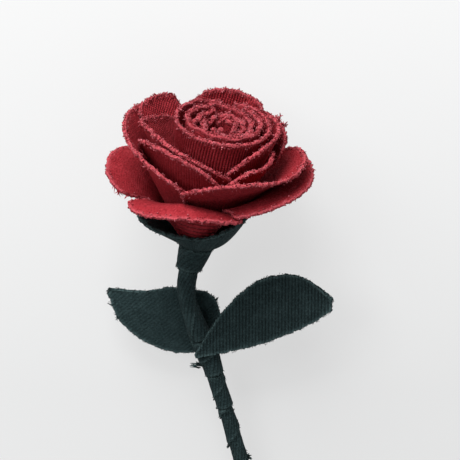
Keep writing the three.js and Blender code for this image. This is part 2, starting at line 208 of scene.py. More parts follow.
def table_paper():
    """Pale paper that the camera sees mostly as an even glow.

    The glow is just under white less a fall. The fall grows from nothing 15 cm
    beyond the rose's middle to all of it at the middle, and all of it is
    between 0.13 on the far left and 0.205 on the right.
    """
    look, tree, paper, place = new_look("table_paper", roughness=0.9)
    paper.inputs["Base Color"].default_value = (0.72, 0.73, 0.73, 1)
    split = tree.nodes.new("ShaderNodeSeparateXYZ")
    tree.links.new(place, split.inputs[0])
    near = clamped(tree, excess(tree, 0.15, split.outputs[1], 6.5), 0.0, 1.0)
    right = clamped(tree, calculate(tree, "ADD", split.outputs[0], 0.05), -0.15, 0.1)
    full = calculate(tree, "ADD", calculate(tree, "MULTIPLY", right, 0.3), 0.175)
    fall = calculate(tree, "MULTIPLY", full, near)
    glow = tree.nodes.new("ShaderNodeEmission")
    glow.inputs["Color"].default_value = (1, 1, 1, 1)
    tree.links.new(calculate(tree, "SUBTRACT", 0.99, fall), glow.inputs["Strength"])
    rays = tree.nodes.new("ShaderNodeLightPath").outputs
    mirrored = calculate(tree, "MAXIMUM", rays["Is Glossy Ray"], rays["Is Transmission Ray"])
    seen = calculate(tree, "MAXIMUM", rays["Is Camera Ray"], mirrored)
    mix = tree.nodes.new("ShaderNodeMixShader")
    tree.links.new(calculate(tree, "MULTIPLY", seen, 0.75), mix.inputs[0])
    tree.links.new(paper.outputs[0], mix.inputs[1])
    tree.links.new(glow.outputs[0], mix.inputs[2])
    tree.links.new(mix.outputs[0], tree.nodes["Material Output"].inputs["Surface"])
    return look


table_mesh = bpy.data.meshes.new("table")
table_mesh.from_pydata([(-3, -3, 0), (3, -3, 0), (3, 3, 0), (-3, 3, 0)], [], [(0, 1, 2, 3)])
table = add_object("table", table_mesh)
table_mesh.materials.append(table_paper())
print("the table is 6 m wide, with", table_mesh.materials[0].name)

# %% [markdown]
# ## Light
#
# The photo is lit softly from the top of the picture and a little from the
# left. One large lamp stands beyond the head of the rose as a window would, a
# smaller one is at the left, a weak one fills from the near side, and an even
# world keeps the folds readable. Large lamps are used because small ones would
# draw a hard shadow that the photo doesn't have.

# %% Lamps and world
def add_lamp(name, place, size, power):
    """A square lamp at a place in metres, facing the middle of the rose."""
    light = bpy.data.lights.new(name, "AREA")
    light.size = size
    light.energy = power
    lamp = bpy.data.objects.new(name, light)
    lamp.location = place
    towards = np.array([0.0, 0.03, 0.02]) - np.array(place)
    tip = np.arctan2(np.hypot(towards[0], towards[1]), -towards[2])
    lamp.rotation_euler = (tip, 0, np.arctan2(towards[1], towards[0]) - np.pi / 2)
    scene.collection.objects.link(lamp)


add_lamp("window", (-0.3, 1.3, 0.85), 0.8, 26)
add_lamp("bounce", (0.5, -0.7, 1.0), 1.2, 2.5)
add_lamp("side", (-0.75, 0.55, 1.0), 0.6, 6)
world = bpy.data.worlds.new("room")
scene.world = world
world.use_nodes = True
world.node_tree.nodes["Background"].inputs["Color"].default_value = (0.95, 0.98, 1, 1)
world.node_tree.nodes["Background"].inputs["Strength"].default_value = 0.26

# %% [markdown]
# ## Knitted cloth as a material
#
# Jersey is rows of small V-shaped loops. The columns of loops stand up as ribs
# about a millimetre apart, and the grooves between them get a painted shade.
# Along a cut the loops open and show their pale, fluffy inside.
#
# An image of cloth would blur when seen close, so the pattern is worked out
# from the piece's own UV map, where X counts the columns of stitches and Y the
# rows. Three attributes of the mesh steer it: `ribs` is how far the columns
# stand out on that side of the cloth, `raw` how near a cut is, and the third
# how much painted light the piece gets, as a paler red where light falls on it.

# %% The knit material
def blend_colours(tree, share, first, second):
    """One Mix node between two colours, each a socket or a tuple."""
    node = tree.nodes.new("ShaderNodeMix")
    node.data_type = "RGBA"
    link(tree, share, node.inputs[0])
    for colour, socket in ((first, node.inputs[6]), (second, node.inputs[7])):
        if isinstance(colour, tuple):
            socket.default_value = (*colour, 1)
        else:
            tree.links.new(colour, socket)
    return node.outputs[2]


def noise(tree, vector, scale, detail=2.0):
    """One Noise node, from 0 to 1."""
    node = tree.nodes.new("ShaderNodeTexNoise")
    node.inputs["Scale"].default_value = scale
    node.inputs["Detail"].default_value = detail
    tree.links.new(vector, node.inputs["Vector"])
    return node.outputs[0]


def attribute(tree, name):
    """A float attribute of the mesh."""
    node = tree.nodes.new("ShaderNodeAttribute")
    node.attribute_name = name
    return node.outputs["Fac"]


def add_bump(tree, shader, height, strength, distance):
    """Raises the surface by a height, at most `distance` metres."""
    bump = tree.nodes.new("ShaderNodeBump")
    bump.inputs["Strength"].default_value = strength
    bump.inputs["Distance"].default_value = distance
    tree.links.new(height, bump.inputs["Height"])
    tree.links.new(bump.outputs[0], shader.inputs["Normal"])


def knit_material(name, face, groove_shade_and_fleck, fleck_wear_and_painted_light, cut):
    """Columns of V stitches with a painted shade in their grooves, paler in patches
    of wear, under painted light and where the cloth is cut.

    `aside` is 0 in the middle of a column and 0.5 in the groove beside it, and
    the painted shade of the groove is the cube of it. The V of a stitch is the
    sine of the row plus `aside`, so that its arms rise towards the grooves.
    """
    look, tree, shader, place = new_look(name, roughness=0.92, specular=0.15)
    cloth_map = tree.nodes.new("ShaderNodeUVMap")
    cloth_map.uv_map = "cloth"
    split = tree.nodes.new("ShaderNodeSeparateXYZ")
    tree.links.new(cloth_map.outputs[0], split.inputs[0])
    column = calculate(tree, "FRACT", split.outputs[0])
    aside = calculate(tree, "ABSOLUTE", calculate(tree, "SUBTRACT", column, 0.5))
    groove = calculate(tree, "POWER", calculate(tree, "MULTIPLY", aside, 2.0), 3.0)
    row = calculate(tree, "ADD", split.outputs[1], aside)
    stitch = calculate(tree, "SINE", calculate(tree, "MULTIPLY", row, 6.2832))
    ribs = attribute(tree, "ribs")
    shade = calculate(tree, "MULTIPLY", groove, ribs)
    patch = noise(tree, place, 260.0, 3.0)
    fuzz = noise(tree, place, 1600.0, 2.0)
    # Paler red: random patches of wear, plus painted light on the pieces where light falls.
    wear_and_painted_light = calculate(tree, "ADD", excess(tree, patch, 0.47, 1.6), attribute(tree, "bright"))
    frayed = calculate(tree, "MULTIPLY", attribute(tree, "raw"), calculate(tree, "ADD", fuzz, 0.35))
    # Painted shade: the grooves between the stitch columns are darkened.
    body = blend_colours(tree, shade, face, groove_shade_and_fleck)
    body = blend_colours(tree, wear_and_painted_light, body, fleck_wear_and_painted_light)
    body = blend_colours(tree, excess(tree, fuzz, 0.52, 3.0), body, fleck_wear_and_painted_light)
    # Random dark flecks take the same dark colour as the painted shade.
    body = blend_colours(tree, excess(tree, 0.45, fuzz, 3.0), body, groove_shade_and_fleck)
    body = blend_colours(tree, frayed, body, cut)
    tree.links.new(body, shader.inputs["Base Color"])
    shader.inputs["Sheen Weight"].default_value = 0.06
    shader.inputs["Sheen Roughness"].default_value = 0.45
    shader.inputs["Sheen Tint"].default_value = (*cut, 1)
    height = calculate(tree, "MULTIPLY", calculate(tree, "MULTIPLY", stitch, 0.2), ribs)
    height = calculate(tree, "SUBTRACT", height, shade)
    height = calculate(tree, "ADD", height, calculate(tree, "MULTIPLY", fuzz, 0.9))
    add_bump(tree, shader, height, 0.8, 0.0005)
    return look


# Each knit's colours: its own red or green, a dark one for the painted shade in the grooves that also makes
# random dark flecks, a paler one for flecks, patches of wear and painted light, and the pale inside of a
# cut.
red_knit = knit_material(
    "red_jersey",
    face=(0.30, 0.016, 0.024), groove_shade_and_fleck=(0.07, 0.003, 0.005),
    fleck_wear_and_painted_light=(0.47, 0.045, 0.058), cut=(0.54, 0.085, 0.105),
)
green_knit = knit_material(
    "green_rib",
    face=(0.0155, 0.030, 0.0315), groove_shade_and_fleck=(0.005, 0.010, 0.010),
    fleck_wear_and_painted_light=(0.036, 0.062, 0.064), cut=(0.06, 0.098, 0.1),
)
print("knits:", red_knit.name, green_knit.name)

# %% [markdown]
# The fluff of a cut edge is the same cotton with its fibres spread. A fibre is
# darkest at its root, where the others shade it, and pale at its tip. The
# attribute `tip` runs from 0 to 1 along each one, so that is a single blend.

# %% The loose fibres' material
def thread_material(name, dark, pale):
    """Loose cotton fibres: darker at their roots, pale and soft at their ends."""
    look, tree, shader, place = new_look(name, roughness=0.9, specular=0.15)
    patchy = excess(tree, noise(tree, place, 500.0), 0.55, 2.5)
    share = calculate(tree, "ADD", calculate(tree, "MULTIPLY", attribute(tree, "tip"), 0.8), patchy)
    tree.links.new(blend_colours(tree, share, dark, pale), shader.inputs["Base Color"])
    return look


red_thread = thread_material("red_cotton_fluff", (0.21, 0.008, 0.014), (0.82, 0.23, 0.27))
green_thread = thread_material("green_cotton_fluff", (0.010, 0.020, 0.020), (0.06, 0.105, 0.105))
print("fluff:", red_thread.name, green_thread.name)

# %% [markdown]
# ## The wire and the core
#
# Wire and core are hidden by cloth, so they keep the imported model's shape and
# get a material only. The wire shows at the cut foot of the stem, and the core
# in the gaps of the head. The wire is zinc-coated steel with a drawn grain. The
# core is wound from scraps of the same jersey, felted and full of lint.

# %% Wire and core
def wire_material():
    """Galvanised wire: grey, dull, with a fine drawn grain and darker blotches."""
    look, tree, shader, place = new_look("galvanised_wire", roughness=0.5)
    blotch = noise(tree, place, 260.0, 3.0)
    grain = noise(tree, place, 2600.0, 1.0)
    grey = blend_colours(tree, blotch, (0.30, 0.31, 0.32), (0.52, 0.53, 0.54))
    rough = calculate(tree, "ADD", calculate(tree, "MULTIPLY", grain, 0.3), 0.3)
    tree.links.new(grey, shader.inputs["Base Color"])
    tree.links.new(rough, shader.inputs["Roughness"])
    shader.inputs["Metallic"].default_value = 0.9
    add_bump(tree, shader, grain, 0.2, 0.0001)
    return look


def core_material():
    """The wound scraps under the petals: deep red, felted, with pale lint."""
    look, tree, shader, place = new_look("felted_scraps", roughness=0.95, specular=0.1)
    felt = noise(tree, place, 900.0, 3.0)
    red = blend_colours(tree, felt, (0.09, 0.004, 0.007), (0.42, 0.04, 0.052))
    tree.links.new(red, shader.inputs["Base Color"])
    add_bump(tree, shader, felt, 0.9, 0.0006)
    return look


for node, look in (("stem_wire", wire_material()), ("head_core", core_material())):
    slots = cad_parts[node].data.materials
    for k in range(len(slots)):
        slots[k] = look
    print(node, "keeps its packed shape, with", look.name)

# %% [markdown]
# ## A sheet of cloth from its middle surface
#
# Every petal and leaf is cut from one layer of knit. Its middle is a grid of
# points, and the cloth's two sides lie half its thickness to either side along
# the grid's normals. Solidify would do that too, but it gives every point the
# same thickness, while real jersey swells and curls where it is cut. So the
# two sides are made here, with the columns of stitches raised on each side and
# a lumpy, thicker band along each cut.

# %% Meshes from grids
def make_mesh(name, points, face_groups, uv=None, **floats):
    """A smooth mesh in metres from points in millimetres, with a UV map and attributes.

    Each group of faces is an array with a face's corners in each row.
    """
    corners = np.concatenate([group.ravel() for group in face_groups]).astype(np.int32)
    sizes = np.concatenate([np.full(len(group), group.shape[1]) for group in face_groups])
    mesh = bpy.data.meshes.new(name)
    mesh.vertices.add(len(points))
    mesh.vertices.foreach_set("co", (points / 1000).astype(np.float32).ravel())
    mesh.loops.add(len(corners))
    mesh.loops.foreach_set("vertex_index", corners)
    mesh.polygons.add(len(sizes))
    mesh.polygons.foreach_set("loop_start", (np.cumsum(sizes) - sizes).astype(np.int32))
    mesh.polygons.foreach_set("use_smooth", np.ones(len(sizes), dtype=bool))
    mesh.update(calc_edges=True)
    for key, values in floats.items():
        layer = mesh.attributes.new(key, "FLOAT", "POINT")
        layer.data.foreach_set("value", values.astype(np.float32).ravel())
    if uv is not None:
        mesh.uv_layers.new(name="cloth").uv.foreach_set("vector", uv[corners].astype(np.float32).ravel())
    mesh.validate()
    return mesh


def grid_faces(columns, rows, start=0, wrap=False):
    """The four corners of each cell of a grid, round it in order."""
    index = start + np.arange(columns * rows).reshape(columns, rows)
    if wrap:
        index = np.concatenate([index, index[:1]])
    corners = index[:-1, :-1], index[1:, :-1], index[1:, 1:], index[:-1, 1:]
    return np.stack(corners, -1).reshape(-1, 4)


def tube_walls(index):
    """Faces of tubes given ring by ring: a point, the one beside it and the two above."""
    beside = np.roll(index, -1, axis=-1)
    below, above = slice(None, -1), slice(1, None)
    corners = index[..., below, :], beside[..., below, :], beside[..., above, :], index[..., above, :]
    return np.stack(corners, -1).reshape(-1, 4)


def unit(vectors):
    """Vectors made one long."""
    return vectors / np.maximum(np.linalg.norm(vectors, axis=-1, keepdims=True), 1e-9)


def grid_normals(grid):
    """Unit normals of a grid of points: the cross product of its two slopes."""
    return unit(np.cross(np.gradient(grid, axis=0), np.gradient(grid, axis=1)))


def grid_area(grid):
    """The grid's area: half the cross product of each cell's diagonals."""
    one, two = grid[1:, 1:] - grid[:-1, :-1], grid[1:, :-1] - grid[:-1, 1:]
    return np.linalg.norm(np.cross(one, two), axis=-1).sum() / 2


def lengths_along(grid, axis):
    """How far each point of a grid is along its row or column."""
    step = np.linalg.norm(np.diff(grid, axis=axis), axis=-1)
    start = np.zeros_like(np.take(step, [0], axis=axis))
    return np.concatenate([start, np.cumsum(step, axis=axis)], axis=axis)


print("grids can be measured and made into meshes")

# %% [markdown]
# A cloth's two sides are the same grid moved out and in. The inner side's faces
# are turned round so that they look outwards too, and a band of faces along the
# border joins the two, so the sheet is closed.

# %% Both sides of a cloth
def lumps(rng, position, size):
    """Smooth noise along a line: random heights every `size`, joined by curves."""
    knots = np.arange(position.min() - 2 * size, position.max() + 3 * size, size)
    height = rng.uniform(-1, 1, len(knots))
    place = (position - knots[0]) / size
    k = np.clip(place.astype(int), 0, len(knots) - 2)
    t = place - k
    t = t * t * (3 - 2 * t)
    return height[k] * (1 - t) + height[k + 1] * t


def rawness(distance, reach):
    """A bell curve of the distance from a cut: 1 at the cut, 0.37 at the reach."""
    return np.exp(-((distance / reach) ** 2))


def ridges(across, pitch, power=0.7):
    """Round stitch columns, a pitch apart: a sine without its sign, from -1.3 up to 0.7."""
    return np.abs(np.sin(np.pi * across / pitch)) ** power * 2 - 1.3


def both_sides(grid, normal, lifts):
    """A grid moved along its normals by one lift, then against them by the other."""
    sides = [grid + sign * normal * lift[..., None] for sign, lift in zip((1, -1), lifts)]
    return np.concatenate([side.reshape(-1, 3) for side in sides])


def sheet_faces(columns, rows):
    """Faces of the outer side, of the inner side and of the band along the border."""
    count = columns * rows
    index = np.arange(count).reshape(columns, rows)
    border = np.concatenate([index[:-1, 0], index[-1, :-1], index[:0:-1, -1], index[0, :0:-1]])
    after = np.roll(border, -1)
    band = np.stack([after, border, border + count, after + count], -1)
    return [grid_faces(columns, rows), grid_faces(columns, rows, count)[:, ::-1], band]


def cloth_mesh(name, points, faces, uv, raw, ribs, **floats):
    """The mesh of a cloth whose two sides have the same map and the same cuts."""
    uv = np.tile(uv.reshape(-1, 2), (2, 1))
    return make_mesh(name, points, faces, uv, raw=np.tile(raw.ravel(), 2), ribs=ribs, **floats)


def turned_map(x, y, c, s):
    """Flat places turned by the angle whose cosine and sine are given."""
    return x * c + y * s, y * c - x * s


def sheet_mesh(name, grid, rng, ribs, rib_angle=0, cloth=CLOTH, pitch=0.95, bright=0.0):
    """Both sides of a cloth whose middle is a grid (side to side, foot to rim).

    The distance to the nearest cut sets the attribute `raw`. Thickness is the
    cloth's own plus a lumpy swelling there. The stitch columns add a row of
    round ridges, as high as `ribs` says for the outer and the inner side. The
    flat cloth's X runs across the columns and its Y along them, at `rib_angle`
    to the way from foot to rim.
    """
    across, along = lengths_along(grid, 0), lengths_along(grid, 1)
    width = across[-1:]
    to_side, to_rim = np.minimum(across, width - across), along[:, -1:] - along
    raw = rawness(np.minimum(to_side, to_rim), 0.85)
    lumpy = lumps(rng, across + 0.6 * along, 0.55) * 0.5 + lumps(rng, along + 0.4 * across, 0.8) * 0.5
    half = cloth / 2 * (1 + raw * (0.3 + 0.8 * lumpy))
    flat_x = (across - width / 2) * np.minimum(1, width[:, -1:].mean() / width)
    angle = np.radians(rib_angle)
    x, y = turned_map(flat_x, along, np.cos(angle), np.sin(angle))
    lifts = [half + 0.2 * rib * ridges(x, pitch) * (1 - 0.7 * raw) for rib in ribs]
    points = both_sides(grid, grid_normals(grid), lifts)
    uv = np.stack([x / pitch, y / (0.85 * pitch)], -1)
    # The piece's painted light, a paler red where light falls on it, is the same all over.
    return cloth_mesh(
        name, points, sheet_faces(*raw.shape), uv, raw,
        ribs=np.repeat(ribs, raw.size), bright=np.full(2 * raw.size, bright),
    )


print("a sheet can be made from its middle")

# %% [markdown]
# ## Raw edges
#
# Scissors leave small nicks in jersey, and its edge then rolls unevenly. The
# loops that were cut spring out as short pale curls, so each edge looks like a
# thin woolly cord. A particle system can't be kept in a model, so the curls
# are real meshes: thousands of short bent threads with few faces each.

# %% Nicks and borders
def ragged(grid, rng, size=0.38):
    """A cloth grid whose cut edge wanders in and out and up and down by `size`.

    The shift is smooth noise along the edge, times a bell curve of the distance
    from it, so it dies out two millimetres inside.
    """
    across, along = lengths_along(grid, 0), lengths_along(grid, 1)
    near_side = rawness(np.minimum(across, across[-1:] - across), 1.2) * np.clip(along / 12, 0, 1)
    near_rim = rawness(along[:, -1:] - along, 1.2)
    out_side = unit(np.gradient(grid, axis=0)) * np.where(across < across[-1:] / 2, -1, 1)[..., None]
    out_rim = unit(np.gradient(grid, axis=1))
    nicks = lambda place: 0.6 * lumps(rng, place, 1.7) + 0.4 * lumps(rng, place, 0.7)
    side = (near_side * nicks(along))[..., None]
    rim = (near_rim * nicks(across))[..., None]
    roll = (np.maximum(near_side, near_rim) * nicks(across + along))[..., None]
    return grid + size * (out_side * side + out_rim * rim + grid_normals(grid) * roll * 0.8)


def border_of(grid, foot_share=0.25):
    """The cut edge of a cloth grid: points, the way out of the cloth, and normals.

    The edge runs up one side, over the rim and down the other side, without the
    share of the length nearest the foot.
    """
    skip = int(grid.shape[1] * foot_share)
    normal = grid_normals(grid)
    out_side, out_rim = unit(np.gradient(grid, axis=0)), unit(np.gradient(grid, axis=1))
    runs = [
        (grid[0, skip:], -out_side[0, skip:], normal[0, skip:]),
        (grid[:, -1], out_rim[:, -1], normal[:, -1]),
        (grid[-1, skip:][::-1], out_side[-1, skip:][::-1], normal[-1, skip:][::-1]),
    ]
    return [np.concatenate(parts) for parts in zip(*runs)]


print("edges can be nicked and followed")


# %% Curls of loose thread
LOWEST = 0.1  # what would go through the table lies on it
THREAD_SIDES = 3


def curl_mesh(name, roots, aim, side, length, bend, thick, segments=3):
    """Many bent threads at once.

    Thread k runs along an arc: at a share t of it, the point is its root plus
    the radius times sin and 1 - cos of the angle so far, along its aim and its
    side. The thickness falls to a third towards the tip, where it closes.
    """
    count = len(roots)
    t = np.linspace(0, 1, segments + 1)[None, :, None]
    theta = bend[:, None, None] * t
    radius = (length / np.maximum(bend, 1e-3))[:, None, None]
    aim, side = aim[:, None, :], side[:, None, :]
    middle = roots[:, None, :] + radius * (aim * np.sin(theta) + side * (1 - np.cos(theta)))
    inward = side * np.cos(theta) - aim * np.sin(theta)
    third = np.cross(aim, side)
    phi = (np.arange(THREAD_SIDES) * 2 * np.pi / THREAD_SIDES)[None, None, :, None]
    width = (thick[:, None, None] * (1 - 0.65 * t**2))[..., None]
    ring = np.cos(phi) * inward[:, :, None, :] + np.sin(phi) * third[:, :, None, :]
    points = (middle[:, :, None, :] + width * ring).reshape(-1, 3)
    points[:, 2] = np.maximum(points[:, 2], LOWEST)
    shape = count, segments + 1, THREAD_SIDES
    index = np.arange(np.prod(shape)).reshape(shape)
    faces = [tube_walls(index), index[:, -1], index[:, 0, ::-1]]
    return make_mesh(name, points, faces, tip=np.broadcast_to(t[..., None], (*shape, 1)))


def fray(name, edge, rng, per_mm, length, thick=0.2, deep=2.0, lift=0.7):
    """Short curls in a band along a cut edge, on both sides of the cloth.

    The band reaches `deep` into the cloth and is thickest at the cut. The curls
    stand in small groups, as the loops of one stitch do. Each stands off its
    own side of the cloth and bends round into a loop. A few are longer and
    straighter, as threads that have come loose.
    """
    points, outward, normal = edge
    step = np.linalg.norm(np.diff(points, axis=0), axis=1)
    reach = np.concatenate([[0], np.cumsum(step)])
    count = int(reach[-1] * per_mm)
    column = (count, 1)
    at = rng.uniform(0, reach[-1], count)
    at = np.clip(at + 0.25 * np.sin(2 * np.pi * at / 0.9), 0, reach[-1])
    pick = lambda values: np.stack([np.interp(at, reach, values[:, k]) for k in range(3)], -1)
    root, away, up = pick(points), unit(pick(outward)), unit(pick(normal))
    along = np.cross(away, up)
    back = deep * rng.uniform(0, 1, column) ** 1.5 - 0.25
    up = up * np.where(rng.uniform(0, 1, column) < 0.5, -1.0, 1.0)
    stand = lift * rng.uniform(0.4, 1, column) * (0.35 + 0.65 * np.clip(back / 0.3, 0, 1))
    root = root - away * back + up * stand
    leans = rng.normal(0.45, 0.6, column), rng.uniform(0, 1, column), rng.normal(0, 0.9, column)
    aim = unit(sum(way * lean for way, lean in zip((away, up, along), leans)))
    side = unit(np.cross(aim, unit(rng.normal(0, 1, (count, 3)))))
    size, bend = rng.uniform(*length, count), rng.uniform(2.0, 4.8, count)
    long = rng.uniform(0, 1, count) < 0.006
    size, bend = np.where(long, size * 1.8, size), np.where(long, bend * 0.4, bend)
    return curl_mesh(name, root, aim, side, size, bend, thick * rng.uniform(0.7, 1.3, count))


def finish_piece(piece, look, node=None):
    """Gives a piece its material and its body, and hides the CAD part it stands for."""
    piece.data.materials.append(look)
    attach(piece, "root")
    if node:
        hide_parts(node)
    return piece


def add_fray(name, edge, rng, look, slot="red_knit", **kind):
    """A band of curls as a piece of its own."""
    return finish_piece(add_object(name, fray(name, edge, rng, **kind)), look)


print("an edge can be frayed")

# %% [markdown]
# ## The petals
#
# Each petal is a piece of jersey glued by its foot to the wound core. It wraps
# round the ones inside it, leans out and curls at the rim, and no two are
# alike. They could be cloth simulated, but a simulation would not land on the
# folds of this rose. So each one is a piece of a turned shape with its own
# sides, heights and curl, in the same list of facts as the CAD model's.

# %% The shape of a petal
CORNER = 0.07  # the share of a petal's length that its corners are rounded by


def between(values, u, bend=1.0):
    """A value that is given at -1, 0 and 1, with the change late where bend is high."""
    first, middle, last = values
    return middle + (np.where(u < 0, first, last) - middle) * np.abs(u) ** bend


def cubic(points, t):
    """Radius and height of a cubic curve at t: its four points, each with its weight."""
    weights = (1 - t) ** 3, 3 * t * (1 - t) ** 2, 3 * t**2 * (1 - t), t**3
    return [sum(weight * point[k] for weight, point in zip(weights, points)) for k in (0, 1)]


def petal_grid(petal, columns, rows):
    """The petal's middle surface, side to side and foot to rim.

    In the plane of radius and height it is a cubic curve. The curve starts on
    the core, leaves it at the slope and by the length in `leave`, and comes to
    the rim along the slope `flare`, which is felt over `reach`. The angle round
    the head runs from side to side, and is narrowed towards the foot. A fold, a
    wave and a sag are added, which grow with the square of the way to the rim.
    What would reach through the table is lifted to lie flat on it.
    """
    u = np.linspace(-1, 1, columns)[:, None]
    v = 1 - (1 - np.linspace(0, 1, rows)[None, :]) ** 1.4  # closest together at the rim
    first_side, last_side = np.radians(petal["sides"])
    cut = v * (1 - CORNER * np.abs(u) ** 10)
    waist = petal["waist"]
    spread = waist + (1 - waist) * (1 - (1 - np.minimum(cut / 0.6, 1)) ** 2)
    angle = (first_side + last_side) / 2 + (last_side - first_side) / 2 * spread * u
    slope, stretch = np.radians(petal["leave"][0]), petal["leave"][1]
    clearance = GLUE_GAP + CLOTH / 2 * (np.cos(slope) + CORE_SLOPE * np.sin(slope))
    foot = petal["foot"]
    start = CORE_RADIUS + CORE_SLOPE * foot + clearance, foot
    first = start[0] + stretch * np.sin(slope), start[1] + stretch * np.cos(slope)
    flare = np.radians(between(petal["flare"], u))
    bend = petal.get("bend", 2.2)
    end = between(petal["rim"], u, bend), between(petal["height"], u, bend)
    second = end[0] - petal["reach"] * np.sin(flare), end[1] - petal["reach"] * np.cos(flare)
    radius, height = cubic((start, first, second, end), cut)
    place, spread_out, fold = petal.get("fold", (0, 1, 0))
    radius = radius + fold * np.exp(-(((u - place) / spread_out) ** 2)) * cut**2
    size, turns, phase = petal.get("wave", (0, 1, 0))
    shift = petal.get("shift", 0) * np.minimum(cut / 0.5, 1)
    height = height + size * np.sin(turns * u + phase) * cut**2
    height = height - petal.get("sag", 0) * np.clip((-u - 0.05) / 0.35, 0, 1) * cut**2
    grid = np.stack([radius * np.cos(angle) + shift, radius * np.sin(angle), height], -1)
    up = head_turn.T @ table_up
    lift = np.maximum(table_level + CLOTH / 2 - grid @ up, 0)
    return grid + lift[..., None] * up


print("a petal's shape is ready")

# %% [markdown]
# The list below goes from the bud outwards. `sides` are angles round the head,
# 0 to the right and -90 to the camera. `rim`, `height` and `flare` are given at
# the first side, the middle and the second side. `fold` is a crease: where it
# is, how wide and how deep. `wave` is a wave of the rim, `shift` a lean of the
# whole petal, and `sag` how far the rim drops towards the first side.
#
# The rest is about the cloth. `columns` is the angle of the stitch columns from
# upright, and `ribs` how far they stand out on the outer and the inner side.
# `wool` is how thick the frayed edge is. Two petals also get painted light, a
# paler red where light falls on them. The front petal is bent back so far that
# its cloth gathers into pleats, so its `pitch` is 2.5 mm, where a plain column is 0.95 mm.

# %% The list of petals
PETALS = {
    "bud_wrap": dict(
        sides=(-265, 80), rim=(14.6, 15.2, 16.4), height=(45.6, 44.2, 45.2), foot=21.2, leave=(38, 1.5),
        flare=(3, 18, 15), reach=5, waist=1, bend=1.6, shift=1.8, columns=0, ribs=(1, 0.3),
    ),
    "petal_back_inner": dict(
        sides=(45, 122), rim=(20.2, 20.2, 19.9), height=(44, 46.9, 43.2), foot=18.1, leave=(46, 7.5),
        flare=(35, 3, 20), reach=14.5, waist=0.66, shift=1.5, columns=8, ribs=(0.4, 0.9), wool=1.15,
    ),
    "petal_right_inner": dict(
        sides=(-75, 50), rim=(17.5, 19, 20.4), height=(34.4, 44.7, 43), foot=16.8, leave=(47.5, 2.3),
        flare=(30, 15, 0), reach=9.5, waist=0.53, shift=1.5, columns=20, ribs=(0.6, 0.4),
    ),
    "petal_left_inner": dict(
        sides=(-229, -62.5), rim=(20.4, 22.6, 19.6), height=(38.6, 42.6, 33.5), foot=15.8, leave=(65, 3.8),
        flare=(25, 28, 33), reach=10, waist=0.56, bend=1.8, fold=(-0.43, 0.15, 2.2), columns=-25,
        # painted light: this petal's red is painted paler where light falls on it
        ribs=(0.5, 0.9), sag=2.3, bright=0.9,
    ),
    "petal_right_mid": dict(
        sides=(-73, -20), rim=(22.2, 23.1, 21.5), height=(31.8, 38.1, 42.3), foot=13.8, leave=(54, 4.4),
        flare=(35, 29, 11), reach=8.5, waist=0.5, columns=15, ribs=(0.5, 0.4),
    ),
    "petal_left_mid": dict(
        sides=(-170, -76), rim=(24.3, 24.9, 23.6), height=(34, 41.1, 32.7), foot=12.8, leave=(52, 6),
        flare=(51, 29, 54), reach=5.5, waist=0.45, columns=-10, ribs=(0.35, 0.5),
    ),
    "petal_back_right": dict(
        sides=(-2, 80), rim=(23.6, 23.7, 23), height=(38.4, 42, 40.2), foot=10.9, leave=(73, 1),
        flare=(30, 15, 21), reach=19.5, waist=0.5, columns=0, ribs=(0.5, 0.5),
    ),
    "petal_back_left": dict(
        sides=(122, 161), rim=(26, 28, 27.9), height=(39.6, 41.2, 39.3), foot=9, leave=(31, 5.5),
        # painted light: this petal's red is painted a little paler where light falls on it
        flare=(17, 28, 33), reach=10, waist=0.58, columns=38, ribs=(0.4, 1), bright=0.35,
    ),
    "petal_left_wrap": dict(
        sides=(-211, -103.5), rim=(30, 29.3, 26.2), height=(40, 38, 30.5), foot=5.6, leave=(40, 11.6),
        flare=(35, 46, 61), reach=13, waist=0.45, bend=1.6, columns=10, ribs=(0.3, 0.45), wool=0.85,
    ),
    "petal_right_wrap": dict(
        sides=(-105, 35), rim=(27.4, 31.3, 28.1), height=(31.5, 38.3, 31), foot=8.2, leave=(27.8, 9.4),
        flare=(40, 61, 24), reach=6.7, waist=0.36, bend=2, wave=(1.2, 5, 4.32), columns=-12,
        ribs=(0.4, 0.3), wool=0.8,
    ),
    "petal_left_outer": dict(
        sides=(140, 210), rim=(29.5, 33.5, 31.1), height=(20.6, 22.5, 20.1), foot=3.7, leave=(59, 12.7),
        flare=(83, 87, 80), reach=19.5, waist=0.64, columns=0, ribs=(0.6, 0.6), wool=0.35,
    ),
    "petal_right_outer": dict(
        sides=(-67, 33.5), rim=(30.5, 34.2, 32.8), height=(24.9, 31.2, 30.9), foot=4.7, leave=(29.5, 17.4),
        flare=(96, 88, 46), reach=9.8, waist=0.36, columns=5, ribs=(0.4, 0.5), wool=0.5,
    ),
    "petal_back_left_outer": dict(
        sides=(92, 145), rim=(31.5, 36, 35), height=(23.5, 25.5, 23.5), foot=2.6, leave=(33, 16),
        flare=(83, 44, 26), reach=13, waist=0.56, columns=0, ribs=(0.9, 0.3), wool=0.5,
    ),
    "petal_back_right_outer": dict(
        sides=(36, 88), rim=(32, 35.3, 33.4), height=(23.4, 25.8, 23.3), foot=2, leave=(20, 17.2),
        flare=(71, 64, 61), reach=18.6, waist=0.6, columns=0, ribs=(0.9, 0.3), wool=0.5,
    ),
    "petal_front_outer": dict(
        sides=(-148, -58.5), rim=(29.8, 31.2, 29.2), height=(17, 23.2, 22.8), foot=0.9, leave=(40, 16.4),
        flare=(102, 127, 87), reach=13.5, waist=0.84, bend=1.2, wave=(1.2, 3.2, 0), columns=90,
        ribs=(1, 0.1), wool=0.6, pitch=2.5,
    ),
}
print(len(PETALS), "petals are listed")

# %% [markdown]
# A petal's grid is finest across its stitch columns, because it has to follow
# their ridges, and coarser along them. The flat area of each cloth piece is
# measured on the grid and printed. Edges are kept for the loose threads later on.

# %% Cut and frill the petals
PETAL_REACH = 46  # longer than any petal from foot to rim
UPRIGHT_STEPS, SLANTED_STEPS = (0.32, 1.15), (0.42, 0.52)  # across and up
EDGES = {}


